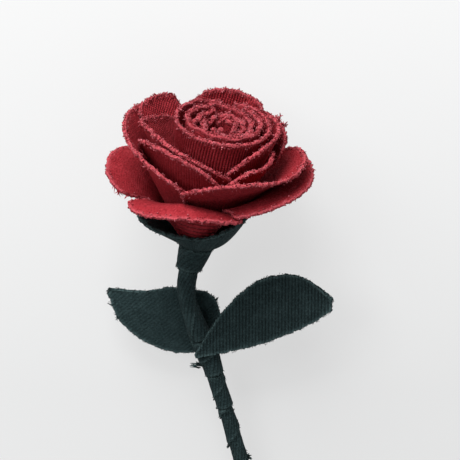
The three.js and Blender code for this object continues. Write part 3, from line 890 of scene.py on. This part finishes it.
def flat_size(grid):
    """A cloth's greatest width, its length and its area, in metres."""
    area = grid_area(grid) / 1e6
    width = lengths_along(grid, 0)[-1].max() / 1000
    return width, max(lengths_along(grid, 1)[:, -1].max() / 1000, area / width), area


def add_red_cloth(node, grid, rng, wool=1.0, **kind):
    """A piece of red jersey with its frayed edge, and the area of its flat cloth."""
    grid = ragged(grid, rng)
    piece = add_object(f"{node}_cloth", sheet_mesh(f"{node}_cloth", grid, rng, **kind))
    finish_piece(piece, red_knit, node)
    EDGES[node] = border_of(grid)
    curls = add_fray(
        f"{node}_fray", EDGES[node], rng, red_thread, per_mm=8.5 * wool, length=(0.4, 0.6 + 0.5 * wool),
    )
    width, length, area = flat_size(grid)
    return area


for number, (node, petal) in enumerate(PETALS.items()):
    rng = np.random.default_rng(100 + number)
    arc = np.radians(petal["sides"][1] - petal["sides"][0]) * max(petal["rim"])
    across, up = UPRIGHT_STEPS if abs(petal["columns"]) < 30 else SLANTED_STEPS
    grid = head_to_table(petal_grid(petal, int(arc / across), int(PETAL_REACH / up)))
    finish = {key: petal[key] for key in ("ribs", "pitch", "wool", "bright") if key in petal}
    area = add_red_cloth(node, grid, rng, rib_angle=petal["columns"], **finish)
    print(node, "is cut from", round(area * 1e6), "square millimetres")

# %% [markdown]
# ## The wound bud
#
# The middle of the rose is a strip of the same jersey, rolled up tight. Its
# top edge is cut unevenly and pushed into folds, so it reads as loops of
# woolly cord one inside another. It could be a stack of rings, but rings would
# never meet. So it is a spiral whose radius wavers, and whose top sinks
# towards the middle and rises and falls with waves of its own.

# %% The bud's strip
ROLL_TURNS, ROLL_OUTER, ROLL_INNER, ROLL_WAIST = 3.6, 12.9, 3.4, 0.68
ROLL_TOP, ROLL_CLOTH = 45.2, 1.2
BUD_SHIFT = 1.8


def bud_lean(v):
    """How far the bud leans to the right: evenly up to half its height, then no further."""
    return BUD_SHIFT * np.minimum(v / 0.5, 1)


def roll_grid(columns, rows):
    """A spiral strip: its radius falls evenly with the angle, plus small folds.

    Its top sinks where a turn has fallen in, and again for the inner turns,
    whose waves are also larger.
    """
    along = np.linspace(0, 1, columns)[:, None]
    v = np.linspace(0, 1, rows)[None, :]
    angle = np.radians(60) - along * ROLL_TURNS * 2 * np.pi
    narrow = ROLL_WAIST + (1 - ROLL_WAIST) * np.sin(v * np.pi / 2)
    folds = (0.15 + 0.7 * along) * np.sin(7.3 * angle) * np.sin(1.9 * angle + 1) * v**3
    radius = (ROLL_OUTER + (ROLL_INNER - ROLL_OUTER) * along + folds) * narrow
    fallen = 3.0 * np.exp(-(((along - 0.42) / 0.09) ** 2))
    sunk = fallen + 2.2 * np.clip((along - 0.5) / 0.1, 0, 1) + 1.5 * np.clip((along - 0.75) / 0.2, 0, 1)
    loose = 0.25 + 0.9 * np.clip((along - 0.45) / 0.1, 0, 1)
    waves = 0.4 * np.sin(2.3 * angle) + loose * np.sin(5.2 * angle + 2 * np.sin(3 * angle))
    foot, top = CORE_TOP + WRAP_GAP + ROLL_CLOTH / 5, ROLL_TOP - sunk + waves
    x = bud_lean(v) + radius * np.cos(angle)
    return np.stack([x, radius * np.sin(angle), foot + (top - foot) * v], -1)


rng = np.random.default_rng(7)
grid = head_to_table(roll_grid(480, 36))
add_red_cloth("bud_roll", grid, rng, ribs=(0.8, 0.4), cloth=ROLL_CLOTH)
add_fray(
    "bud_fluff", border_of(grid, foot_share=0.6), rng, red_thread,
    per_mm=3, length=(0.7, 1.8), thick=0.17, deep=1.4, lift=0.9,
)
print("the bud's strip is", round(lengths_along(grid, 0)[-1].max()), "mm long")

# %% [markdown]
# The last few turns are too tight to tell apart, and show only as a small tuft
# in the middle. It is one solid: a cone, closed by a fan of faces at each end.

# %% The tuft
TUFT_RADIUS, TUFT_FOOT, TUFT_TOP = 1.35, 21.4, ROLL_TOP - 3


def tuft_mesh(rows=40, sides=26):
    """A cone that widens upwards, wavers three times round and rounds off at its top."""
    phi = np.arange(sides) * 2 * np.pi / sides
    v = np.linspace(0, 1, rows)[:, None]
    wavers = 1 + 0.12 * np.sin(3 * phi + 9 * v)
    radius = TUFT_RADIUS * (ROLL_WAIST + (1 - ROLL_WAIST) * v) * wavers * np.sqrt(1 - v**14 * 0.7)
    x = bud_lean(v) + radius * np.cos(phi)
    height = TUFT_FOOT + (TUFT_TOP - TUFT_FOOT) * v + 0 * phi
    grid = np.stack([x, radius * np.sin(phi), height], -1)
    points = np.concatenate([grid.reshape(-1, 3), grid[:1].mean(1), grid[-1:].mean(1)])
    index = np.arange(rows * sides).reshape(rows, sides)
    bottom = np.stack([index[0], np.full(sides, index.size), np.roll(index[0], -1)], -1)
    top = np.stack([np.roll(index[-1], -1), np.full(sides, index.size + 1), index[-1]], -1)
    uv = np.stack([phi * 1.4 + 0 * v, v * 30 + 0 * phi], -1).reshape(-1, 2)
    raw = np.concatenate([(v**8 + 0 * phi).ravel(), [0, 1]])
    return make_mesh(
        "bud_tuft_cloth", head_to_table(points), [tube_walls(index), bottom, top],
        np.concatenate([uv, [[0, 0], [0, 30]]]), raw=raw, ribs=np.full(len(points), 0.6),
    )


finish_piece(add_object("bud_tuft_cloth", tuft_mesh()), red_knit, "bud_tuft")
print("the tuft ends", ROLL_TOP - TUFT_TOP, "mm below the roll's outer turn")

# %% [markdown]
# ## The calyx
#
# Under the petals is a round of the green rib knit, cut into three broad
# points and pushed up round the foot of the head. Between the points it is
# drawn in and up against the red cloth. Three separate leaves would show gaps
# that the real one hasn't. So it is one ring-shaped grid, and the cloth goes
# right round without a seam.

# %% The calyx
SEPALS, SEPAL_TURN, SEPAL_NOTCH = 3, -35, 0.49
SEPAL_DRAW, SEPAL_LIFT = 0.1, 1.8
CALYX_FOOT, CALYX_TIP, CALYX_SIDE = (5.3, -1.6), (19.6, 13.4), 25
CALYX_ROUND = 66  # round the cloth where its ribs are counted
CALYX_FLAT = 0.045  # across the round it is cut from, in metres
RIB_PITCH = 1.1


def calyx_grid(columns, rows):
    """A cubic curve from the neck to the points' tips, carried right round.

    How far a column of the grid follows the curve depends on its angle: all
    the way at a point, and half the way between two, where the cloth is also
    drawn in and up, with small nicks all along. Its tips are lower and further
    out on the side away from CALYX_SIDE, and the point in front is rounder.
    """
    angle = np.linspace(-np.pi, np.pi, columns + 1)[:-1, None]
    v = np.linspace(0, 1, rows)[None, :]
    dip = np.abs(np.sin(SEPALS * (angle - np.radians(SEPAL_TURN)) / 2)) ** 6
    side = np.cos(angle - np.radians(CALYX_SIDE))
    nicks = 0.014 * np.sin(23 * angle) + 0.012 * np.sin(41 * angle + 2) + 0.008 * np.sin(67 * angle)
    cut = v * (1 - SEPAL_NOTCH * dip + nicks)
    belly = np.exp(-((angle - np.radians(SEPAL_TURN)) ** 2) / 0.6)
    tip = CALYX_TIP[0] - 1.9 * side - 1.3 * belly, CALYX_TIP[1] + 4.2 * side
    first = CALYX_FOOT[0] + 4.4 + 1.2 * belly, CALYX_FOOT[1] + 3.2 - 0.5 * side + 0.3 * belly
    second = tip[0] - 7.5 + 4.0 * belly, tip[1] - 6.9 - 1.8 * side - belly
    radius, height = cubic((CALYX_FOOT, first, second, tip), cut)
    radius = radius * (1 - SEPAL_DRAW * dip * v)
    height = height + SEPAL_LIFT * dip * v
    return np.stack([radius * np.cos(angle), radius * np.sin(angle), height + 0 * angle], -1)


def calyx_mesh(name, grid, rng):
    """Both sides of a cloth that goes right round: its first column follows its last."""
    columns, rows = grid.shape[:2]
    normal = grid_normals(np.concatenate([grid[-1:], grid, grid[:1]]))[1:-1]
    along = lengths_along(grid, 1)
    raw = rawness(along[:, -1:] - along, 0.8)
    turn = np.arange(columns)[:, None] / columns
    x = turn * CALYX_ROUND * np.ones_like(along)
    swollen = CLOTH / 2 * (1 + raw * (0.6 + 0.5 * lumps(rng, along + 40 * turn, 0.6)))
    half = swollen + 0.03 * ridges(x, RIB_PITCH) * (1 - 0.6 * raw)
    count = columns * rows
    index = np.arange(count).reshape(columns, rows)
    after = np.roll(index, -1, axis=0)
    rim = np.stack([after[:, -1], after[:, -1] + count, index[:, -1] + count, index[:, -1]], -1)
    foot = np.stack([index[:, 0], index[:, 0] + count, after[:, 0] + count, after[:, 0]], -1)
    outer, inner = (grid_faces(columns, rows, start, wrap=True) for start in (0, count))
    return cloth_mesh(
        name, both_sides(grid, normal, (half, half)), [outer, inner[:, ::-1], rim, foot],
        np.stack([x, along], -1) / RIB_PITCH, raw, ribs=np.full(2 * count, 0.25),
    )


rng = np.random.default_rng(31)
grid = head_to_table(calyx_grid(280, 32))
calyx = add_object("calyx_cloth", calyx_mesh("calyx_cloth", grid, rng))
finish_piece(calyx, green_knit, "calyx")
closed = np.concatenate([grid, grid[:1]])
edge = closed[:, -1], np.gradient(closed, axis=1)[:, -1], grid_normals(closed)[:, -1]
calyx_fray = add_fray(
    "calyx_fray", edge, rng, green_thread, "green_knit", per_mm=6.5, length=(0.5, 1.1), thick=0.15, deep=1.3,
)
area = min(grid_area(closed) / 1e6, CALYX_FLAT**2)
print("the calyx is cut from", round(area * 1e6), "square millimetres")

# %% [markdown]
# ## The stem
#
# The stem is a steel wire with a strip of the green cloth wound round it. The
# wire's line is a smooth curve through a few points. A Bezier curve object
# could draw it, but the cloth wound on it needs the line's place and
# directions at every point, so the curve is worked out here.

# %% The stem's line
WIRE_IN_HEAD = 12


def smooth_line(points, shares):
    """Points at shares of a centripetal Catmull-Rom curve through given ones.

    Between two given points the curve is a cubic. Its slopes come from the
    neighbours, each weighed by the square root of its distance.
    """
    points = np.asarray(points, dtype=float)
    padded = np.concatenate([2 * points[:1] - points[1:2], points, 2 * points[-1:] - points[-2:-1]])
    place = np.clip(np.asarray(shares, dtype=float), 0, 1) * (len(points) - 1)
    k = np.minimum(place.astype(int), len(points) - 2)
    t = (place - k)[:, None]
    p0, p1, p2, p3 = padded[k], padded[k + 1], padded[k + 2], padded[k + 3]
    gap = lambda a, b: np.maximum(np.linalg.norm(b - a, axis=1, keepdims=True) ** 0.5, 1e-4)
    d0, d1, d2 = gap(p0, p1), gap(p1, p2), gap(p2, p3)
    m1 = ((p1 - p0) / d0 - (p2 - p0) / (d0 + d1) + (p2 - p1) / d1) * d1
    m2 = ((p2 - p1) / d1 - (p3 - p1) / (d1 + d2) + (p3 - p2) / d2) * d1
    ends = (2 * t**3 - 3 * t**2 + 1) * p1, (3 * t**2 - 2 * t**3) * p2
    slopes = (t**3 - 2 * t**2 + t) * m1, (t**3 - t**2) * m2
    return ends[0] + slopes[0] + ends[1] + slopes[1]


head_axis = stem_turn.T @ head_turn @ np.array([0, 0, 1])
stem_point = lambda share, x: np.array([x, -STEM_LENGTH * share, STEM_PLANE])
stem_points = [
    head_axis * WIRE_IN_HEAD, head_axis * WIRE_IN_HEAD / 2, np.zeros(3), head_axis * (CALYX_FOOT[1] - 1.5),
    stem_point(0.073, -3.0), stem_point(0.125, -3.7), stem_point(0.178, -1.6), stem_point(0.275, 4),
    stem_point(0.504, 14.4), stem_point(0.75, 24.9), stem_point(1, 33),
]
dense = smooth_line(stem_points, np.linspace(0, 1, 4000))
reach = np.concatenate([[0], np.cumsum(np.linalg.norm(np.diff(dense, axis=0), axis=1))])
stem_length = reach[-1]


def stem_at(distance):
    """Place, right and front of the stem, at distances along its line."""
    at = lambda shift: np.stack([np.interp(distance + shift, reach, dense[:, k]) for k in range(3)], -1)
    along = unit(at(0.5) - at(-0.5))
    right = unit(np.array([1.0, 0, 0]) - along * along[:, :1])
    return at(0), right, np.cross(right, along)


print("the wire is", round(stem_length), "mm long")

# %% [markdown]
# The strip is laid on in several lengths, each starting a little step, and
# every turn laps over the one before. So the radius is worked out for each
# point along the stem and each angle round it: a saw-tooth that runs round as
# a screw thread does, plus the steps and soft lumps of the cloth below. Each
# wound length is a hollow sleeve: an outer wall with the laps, an inner wall a
# little clear of the wire, and a ring of cloth closing either end.

# %% The wound strips
WRAPS = [
    dict(name="stem_collar", end=0.072, radii=(6.1, 5.2, 4.1), lap=14.0, step=0.35, turn=0.4),
    dict(name="stem_wrap_upper", end=0.232, radii=(3.1, 3.1, 3.6), lap=40.0, step=0.3, turn=2.2),
    dict(name="stem_wrap_middle", end=0.314, radii=(3.9, 3.7, 3.1), lap=9.0, step=0.45, turn=1.0),
    dict(name="stem_wrap_lower", end=0.391, radii=(2.75, 2.7, 2.9), lap=11.0, step=0.4, turn=4.0),
    dict(name="stem_wrap_foot", end=1.0, radii=(2.5, 2.6, 2.5), lap=10.5, step=0.5, turn=0.0),
]
WIRE_BORE = 1.3  # the wire's radius and the air round it
THINNEST = 0.5  # the least cloth between the wire and the outside


def wound_radius(wrap, share, distance, phi):
    """The strip's outer radius, and how far through its turn each point is.

    The radius is the length's own, a saw-tooth of one lap a turn, and soft lumps.
    """
    radius = between(wrap["radii"], 2 * share - 1)[:, None]
    thread = (distance[:, None] / wrap["lap"] + phi[None, :] / (2 * np.pi) + wrap["turn"]) % 1
    lap = wrap["step"] * (np.minimum(thread * 1.15, 1) - 0.5) * np.clip((1 - thread) / 0.04, 0, 1)
    soft = 0.12 * np.sin(phi[None, :] * 2 + distance[:, None] / 4.1 + wrap["turn"])
    soft = soft + 0.07 * np.sin(phi[None, :] * 5 - distance[:, None] / 2.3)
    return radius + lap + soft, thread


def wrap_mesh(wrap, start, end, rng, sides=60):
    """A sleeve whose outer wall is a grid of distance along by angle round, and its area."""
    distance = np.linspace(start, end, max(int((end - start) / 0.42), 24))
    phi = np.arange(sides) * 2 * np.pi / sides
    place, right, front = stem_at(distance)
    radius, thread = wound_radius(wrap, (distance - start) / (end - start), distance, phi)
    to_end = np.minimum(distance - start, end - distance)[:, None]
    raw = np.clip(rawness(to_end, 0.7) + rawness((1 - thread) * wrap["lap"], 0.8), 0, 1)
    radius = radius + 0.14 * raw * lumps(rng, phi[None, :] * 3 + distance[:, None], 0.5)
    radius = np.maximum(radius - 0.25 * rawness(to_end, 0.25), WIRE_BORE + THINNEST)
    x = (phi[None, :] * 2.7 + distance[:, None] * 0.35) * np.ones_like(radius)
    radius = radius + 0.07 * ridges(x, RIB_PITCH) * (1 - 0.7 * raw)
    ring = np.cos(phi)[None, :, None] * right[:, None] + np.sin(phi)[None, :, None] * front[:, None]
    outer = place[:, None] + radius[..., None] * ring
    inner = place[:, None] + WIRE_BORE * ring
    grid = np.concatenate([outer, inner[::-1]])
    index = np.arange(len(grid) * sides).reshape(-1, sides)
    below, beside = np.roll(index, -1, axis=0), np.roll(index, -1, axis=1)
    faces = np.stack([index, beside, np.roll(below, -1, axis=1), below], -1).reshape(-1, 4)
    y = np.concatenate([distance, distance[::-1]])[:, None] * np.ones((1, sides))
    uv = np.stack([np.tile(x, (2, 1)), y], -1).reshape(-1, 2) / RIB_PITCH
    mesh = make_mesh(
        f"{wrap['name']}_cloth", to_table(grid.reshape(-1, 3), stem_turn), [faces], uv,
        raw=np.tile(raw, (2, 1)), ribs=np.full(index.size, 0.7),
    )
    return mesh, 2 * np.pi * (radius.mean() + WIRE_BORE) / 2 * (end - start)


print("the strip is wound in", len(WRAPS), "lengths")

# %% [markdown]
# A strip frays along its free edge, which is a screw line on the stem, and
# round both ends. The flat strip is up to 12 mm wide and as long as its wound
# area needs.


def around(wrap, share, phi, place, right, front, proud=0.0):
    """Points on a wound length at angles round it, and the way out from there."""
    out = np.cos(phi)[:, None] * right + np.sin(phi)[:, None] * front
    radius = between(wrap["radii"], 2 * share - 1) + proud
    return place + np.reshape(radius, (-1, 1)) * out, out


def lap_edge(wrap, start, end):
    """The lap's free edge, a screw line on the outer wall, for its fray."""
    distance = np.linspace(start + 0.6, end - 0.6, int((end - start) * 6))
    phi = -2 * np.pi * (distance / wrap["lap"] + wrap["turn"])
    place, right, front = stem_at(distance)
    share = (distance - start) / (end - start)
    points, out = around(wrap, share, phi, place, right, front, wrap["step"] * 0.35)
    return points, unit(np.gradient(place, axis=0)), out


def end_edge(wrap, start, end, share):
    """The ring at an end of a wound length, for its fray."""
    phi = np.linspace(0, 2 * np.pi, 120)
    place, right, front = stem_at(np.full(120, start + (end - start) * share))
    points, out = around(wrap, share, phi, place, right, front)
    return points, np.cross(front, right) * (-1 if share < 0.5 else 1), out


def edge_to_table(edge, turn):
    """An edge's points and directions, taken to the table's frame."""
    points, outward, normal = edge
    return to_table(points, turn), outward @ (lay @ turn).T, normal @ (lay @ turn).T


start = WIRE_IN_HEAD - CALYX_FOOT[1] + CLOTH / 2 + 1.5 * WRAP_GAP
laps = []
for number, wrap in enumerate(WRAPS):
    rng = np.random.default_rng(50 + number)
    end = WIRE_IN_HEAD + (stem_length - WIRE_IN_HEAD) * wrap["end"]
    mesh, area = wrap_mesh(wrap, start, end, rng)
    piece = finish_piece(add_object(mesh.name, mesh), green_knit, wrap["name"])
    laps.append(edge_to_table(lap_edge(wrap, start, end), stem_turn))
    ends = [edge_to_table(end_edge(wrap, start, end, share), stem_turn) for share in (0.02, 0.98)]
    threads = [
        add_fray(
            f"{wrap['name']}_{key}_fray", edge, rng, green_thread, "green_knit",
            per_mm=per_mm, length=(0.4, 1.0), thick=0.1, deep=0.7, lift=0.25,
        )
        for key, edge, per_mm in (("lap", laps[-1], 4), ("top", ends[0], 4), ("foot", ends[1], 5))
    ]
    print(wrap["name"], "covers", round(end - start, 1), "mm of the stem")
    start = end + WRAP_GAP
EDGES["stem"] = [np.concatenate(parts) for parts in zip(*laps)]

# %% [markdown]
# ## The leaves
#
# Both leaves are cut from green rib knit without a hem. The right one is
# bound to the front of the stem and its ribs stand upright in the picture. The
# left one is bound behind, with its smoother side to the front. A leaf could be
# an outline filled with faces, but the ribs and the raw edge need a grid. So
# each is the cloth between two drawn edge lines, with a shallow fold along its
# middle. `columns` is the way across the stitch columns.

# %% Leaves between two edge lines
LEAF_SEAT = 3.9
LEAVES = [
    dict(
        name="leaf_left", side=-1, rise=1.5, columns=(0.62, -0.78), ribs=0.25,
        upper=[(8, -29), (5, -22), (-8, -19.2), (-18.5, -20.8), (-30.4, -20.2)],
        lower=[(3, -42), (-8, -42.4), (-17.8, -38.8), (-26.8, -31), (-30.4, -21.4)],
    ),
    dict(
        name="leaf_right", side=1, rise=4.5, columns=(1, 0), ribs=0.9,
        upper=[(-1, -40.2), (9, -24.5), (21, -13.6), (34, -11.8), (45.4, -19.4)],
        lower=[(-0.6, -41.4), (12, -38.8), (25, -34.8), (38.6, -28), (44.8, -23.2)],
    ),
]


def leaf_grid(leaf, across, along):
    """Between the lower and the upper line, with a shallow fold and a slow wave."""
    u = np.linspace(-1, 1, across)[:, None]
    v = np.linspace(0, 1, along)
    flat = lambda line: smooth_line([(x, y, 0) for x, y in line], v)[None]
    share = (u[..., None] + 1) / 2
    grid = flat(leaf["lower"]) * (1 - share) + flat(leaf["upper"]) * share
    v = v[None, :]
    fold = 0.9 * np.sin(np.pi * v) * (1 - np.abs(u))
    wave = 0.6 * v * v * np.sin(4 * v + 2 * u)
    seat = LEAF_SEAT + GLUE_GAP + CLOTH / 2
    grid[..., 2] = STEM_PLANE + leaf["side"] * (seat + leaf["rise"] * v * v - fold) + wave
    return grid


def leaf_mesh(leaf, grid, rng):
    """Both sides of a leaf, its ribs running straight across the drawn shape."""
    across, along = lengths_along(grid, 0), lengths_along(grid, 1)
    to_cut = np.minimum(np.minimum(across, across[-1:] - across), along[:, -1:] - along)
    raw = rawness(to_cut, 0.7)
    x, y = turned_map(grid[..., 0], grid[..., 1], *leaf["columns"])
    swollen = CLOTH / 2 * (1 + raw * (0.25 + 0.5 * lumps(rng, across + along, 0.6)))
    half = swollen + 0.13 * leaf["ribs"] * ridges(x, RIB_PITCH, 0.8) * (1 - 0.5 * raw)
    points = to_table(both_sides(grid, grid_normals(grid), (half, half)), stem_turn)
    return cloth_mesh(
        f"{leaf['name']}_cloth", points, sheet_faces(*raw.shape), np.stack([x, y], -1) / RIB_PITCH, raw,
        ribs=np.full(2 * raw.size, leaf["ribs"]),
    )


for number, leaf in enumerate(LEAVES):
    node = leaf["name"]
    rng = np.random.default_rng(70 + number)
    grid = ragged(leaf_grid(leaf, 80, 116), rng, 0.3)
    piece = add_object(f"{node}_cloth", leaf_mesh(leaf, grid, rng))
    finish_piece(piece, green_knit, node)
    EDGES[node] = edge_to_table(border_of(grid, foot_share=0.05), stem_turn)
    curls = add_fray(
        f"{node}_fray", EDGES[node], rng, green_thread, "green_knit",
        per_mm=6, length=(0.4, 1.0), thick=0.1, deep=0.8,
    )
    print(node, "is cut from", round(area * 1e6), "square millimetres")

# %% [markdown]
# ## Loose threads
#
# A few long threads have come out of the cuts: at the left petal, at the top
# right of the head, at the left leaf's point and at laps of the strip on the
# stem. Each bunch is given by its place in the picture, and grows from the
# point of its own edge that is seen nearest to there, so it sits on cloth from
# every side.

# %% Bunches of loose thread
LOOSE_THREADS = {  # (pixel, way in the picture, how many, length, thickness)
    "petal_left_outer": [
        ((113, 186), (-0.5, 1), 5, 2.2, 0.2), ((119, 190), (-0.2, 1), 6, 2.4, 0.22),
        ((127, 194), (0.1, 1), 5, 1.8, 0.2),
    ],
    "petal_back_right": [
        ((273, 122), (0.1, -1), 22, 1.5, 0.26), ((278, 120), (0.3, -1), 24, 2.0, 0.26),
        ((283, 125), (0.8, -0.5), 22, 1.6, 0.26),
    ],
    "leaf_left": [
        ((109, 304), (-1, 0.2), 7, 2.0, 0.2), ((117, 317), (-0.5, 1), 7, 2.2, 0.2),
        ((111, 293), (-1, -0.2), 5, 1.2, 0.18), ((215, 300), (1, -0.6), 6, 1.4, 0.2),
    ],
    "stem": [
        ((202, 370), (-1, -0.3), 12, 3.6, 0.34), ((196, 352), (-1, 0.1), 6, 1.6, 0.2),
        ((238, 415), (1, 0.2), 9, 1.0, 0.34), ((228, 449), (-1, 0.1), 7, 0.9, 0.3),
        ((252, 457), (1, 0.1), 12, 1.5, 0.34),
    ],
}


def seen_at(points):
    """Where the camera sees points of the table's frame, in pixels of the picture."""
    local = (points - foot_place) @ lay - aim
    shrink = VIEW_DISTANCE / (VIEW_DISTANCE - local[:, 2])
    return PICTURE_MIDDLE + np.stack([local[:, 0], -local[:, 1]], -1) * (shrink / MM_PER_PIXEL)[:, None]


def bunch(edge, spot, rng):
    """Roots, aims, sides, lengths, bends and thicknesses of the threads at one spot."""
    pixel, way, count, length, thick = spot
    points = edge[0]
    nearest = np.argmin(((seen_at(points) - pixel) ** 2).sum(-1))
    root = points[nearest] + rng.normal(0, 0.45, (count, 3))
    towards = lay @ unit(np.array([way[0], -way[1], 0.25]))
    along = unit(towards + rng.normal(0, 0.16, (count, 3)))
    side = unit(np.cross(along, rng.normal(0, 1, (count, 3))))
    lengths = length * rng.uniform(0.5, 1.1, count)
    bends = rng.uniform(0.2, 2.2, count) * min(1, 1.6 / length)
    return root, along, side, lengths, bends, thick * rng.uniform(0.7, 1.2, count)


rng = np.random.default_rng(90)
for node, spots in LOOSE_THREADS.items():
    name = f"{node}_threads"
    threads = [np.concatenate(parts) for parts in zip(*[bunch(EDGES[node], spot, rng) for spot in spots])]
    piece = add_object(name, curl_mesh(name, *threads, segments=5))
    if node.startswith("petal"):
        finish_piece(piece, red_thread)
    else:
        finish_piece(piece, green_thread)
    print(name, "has", len(threads[0]), "threads")
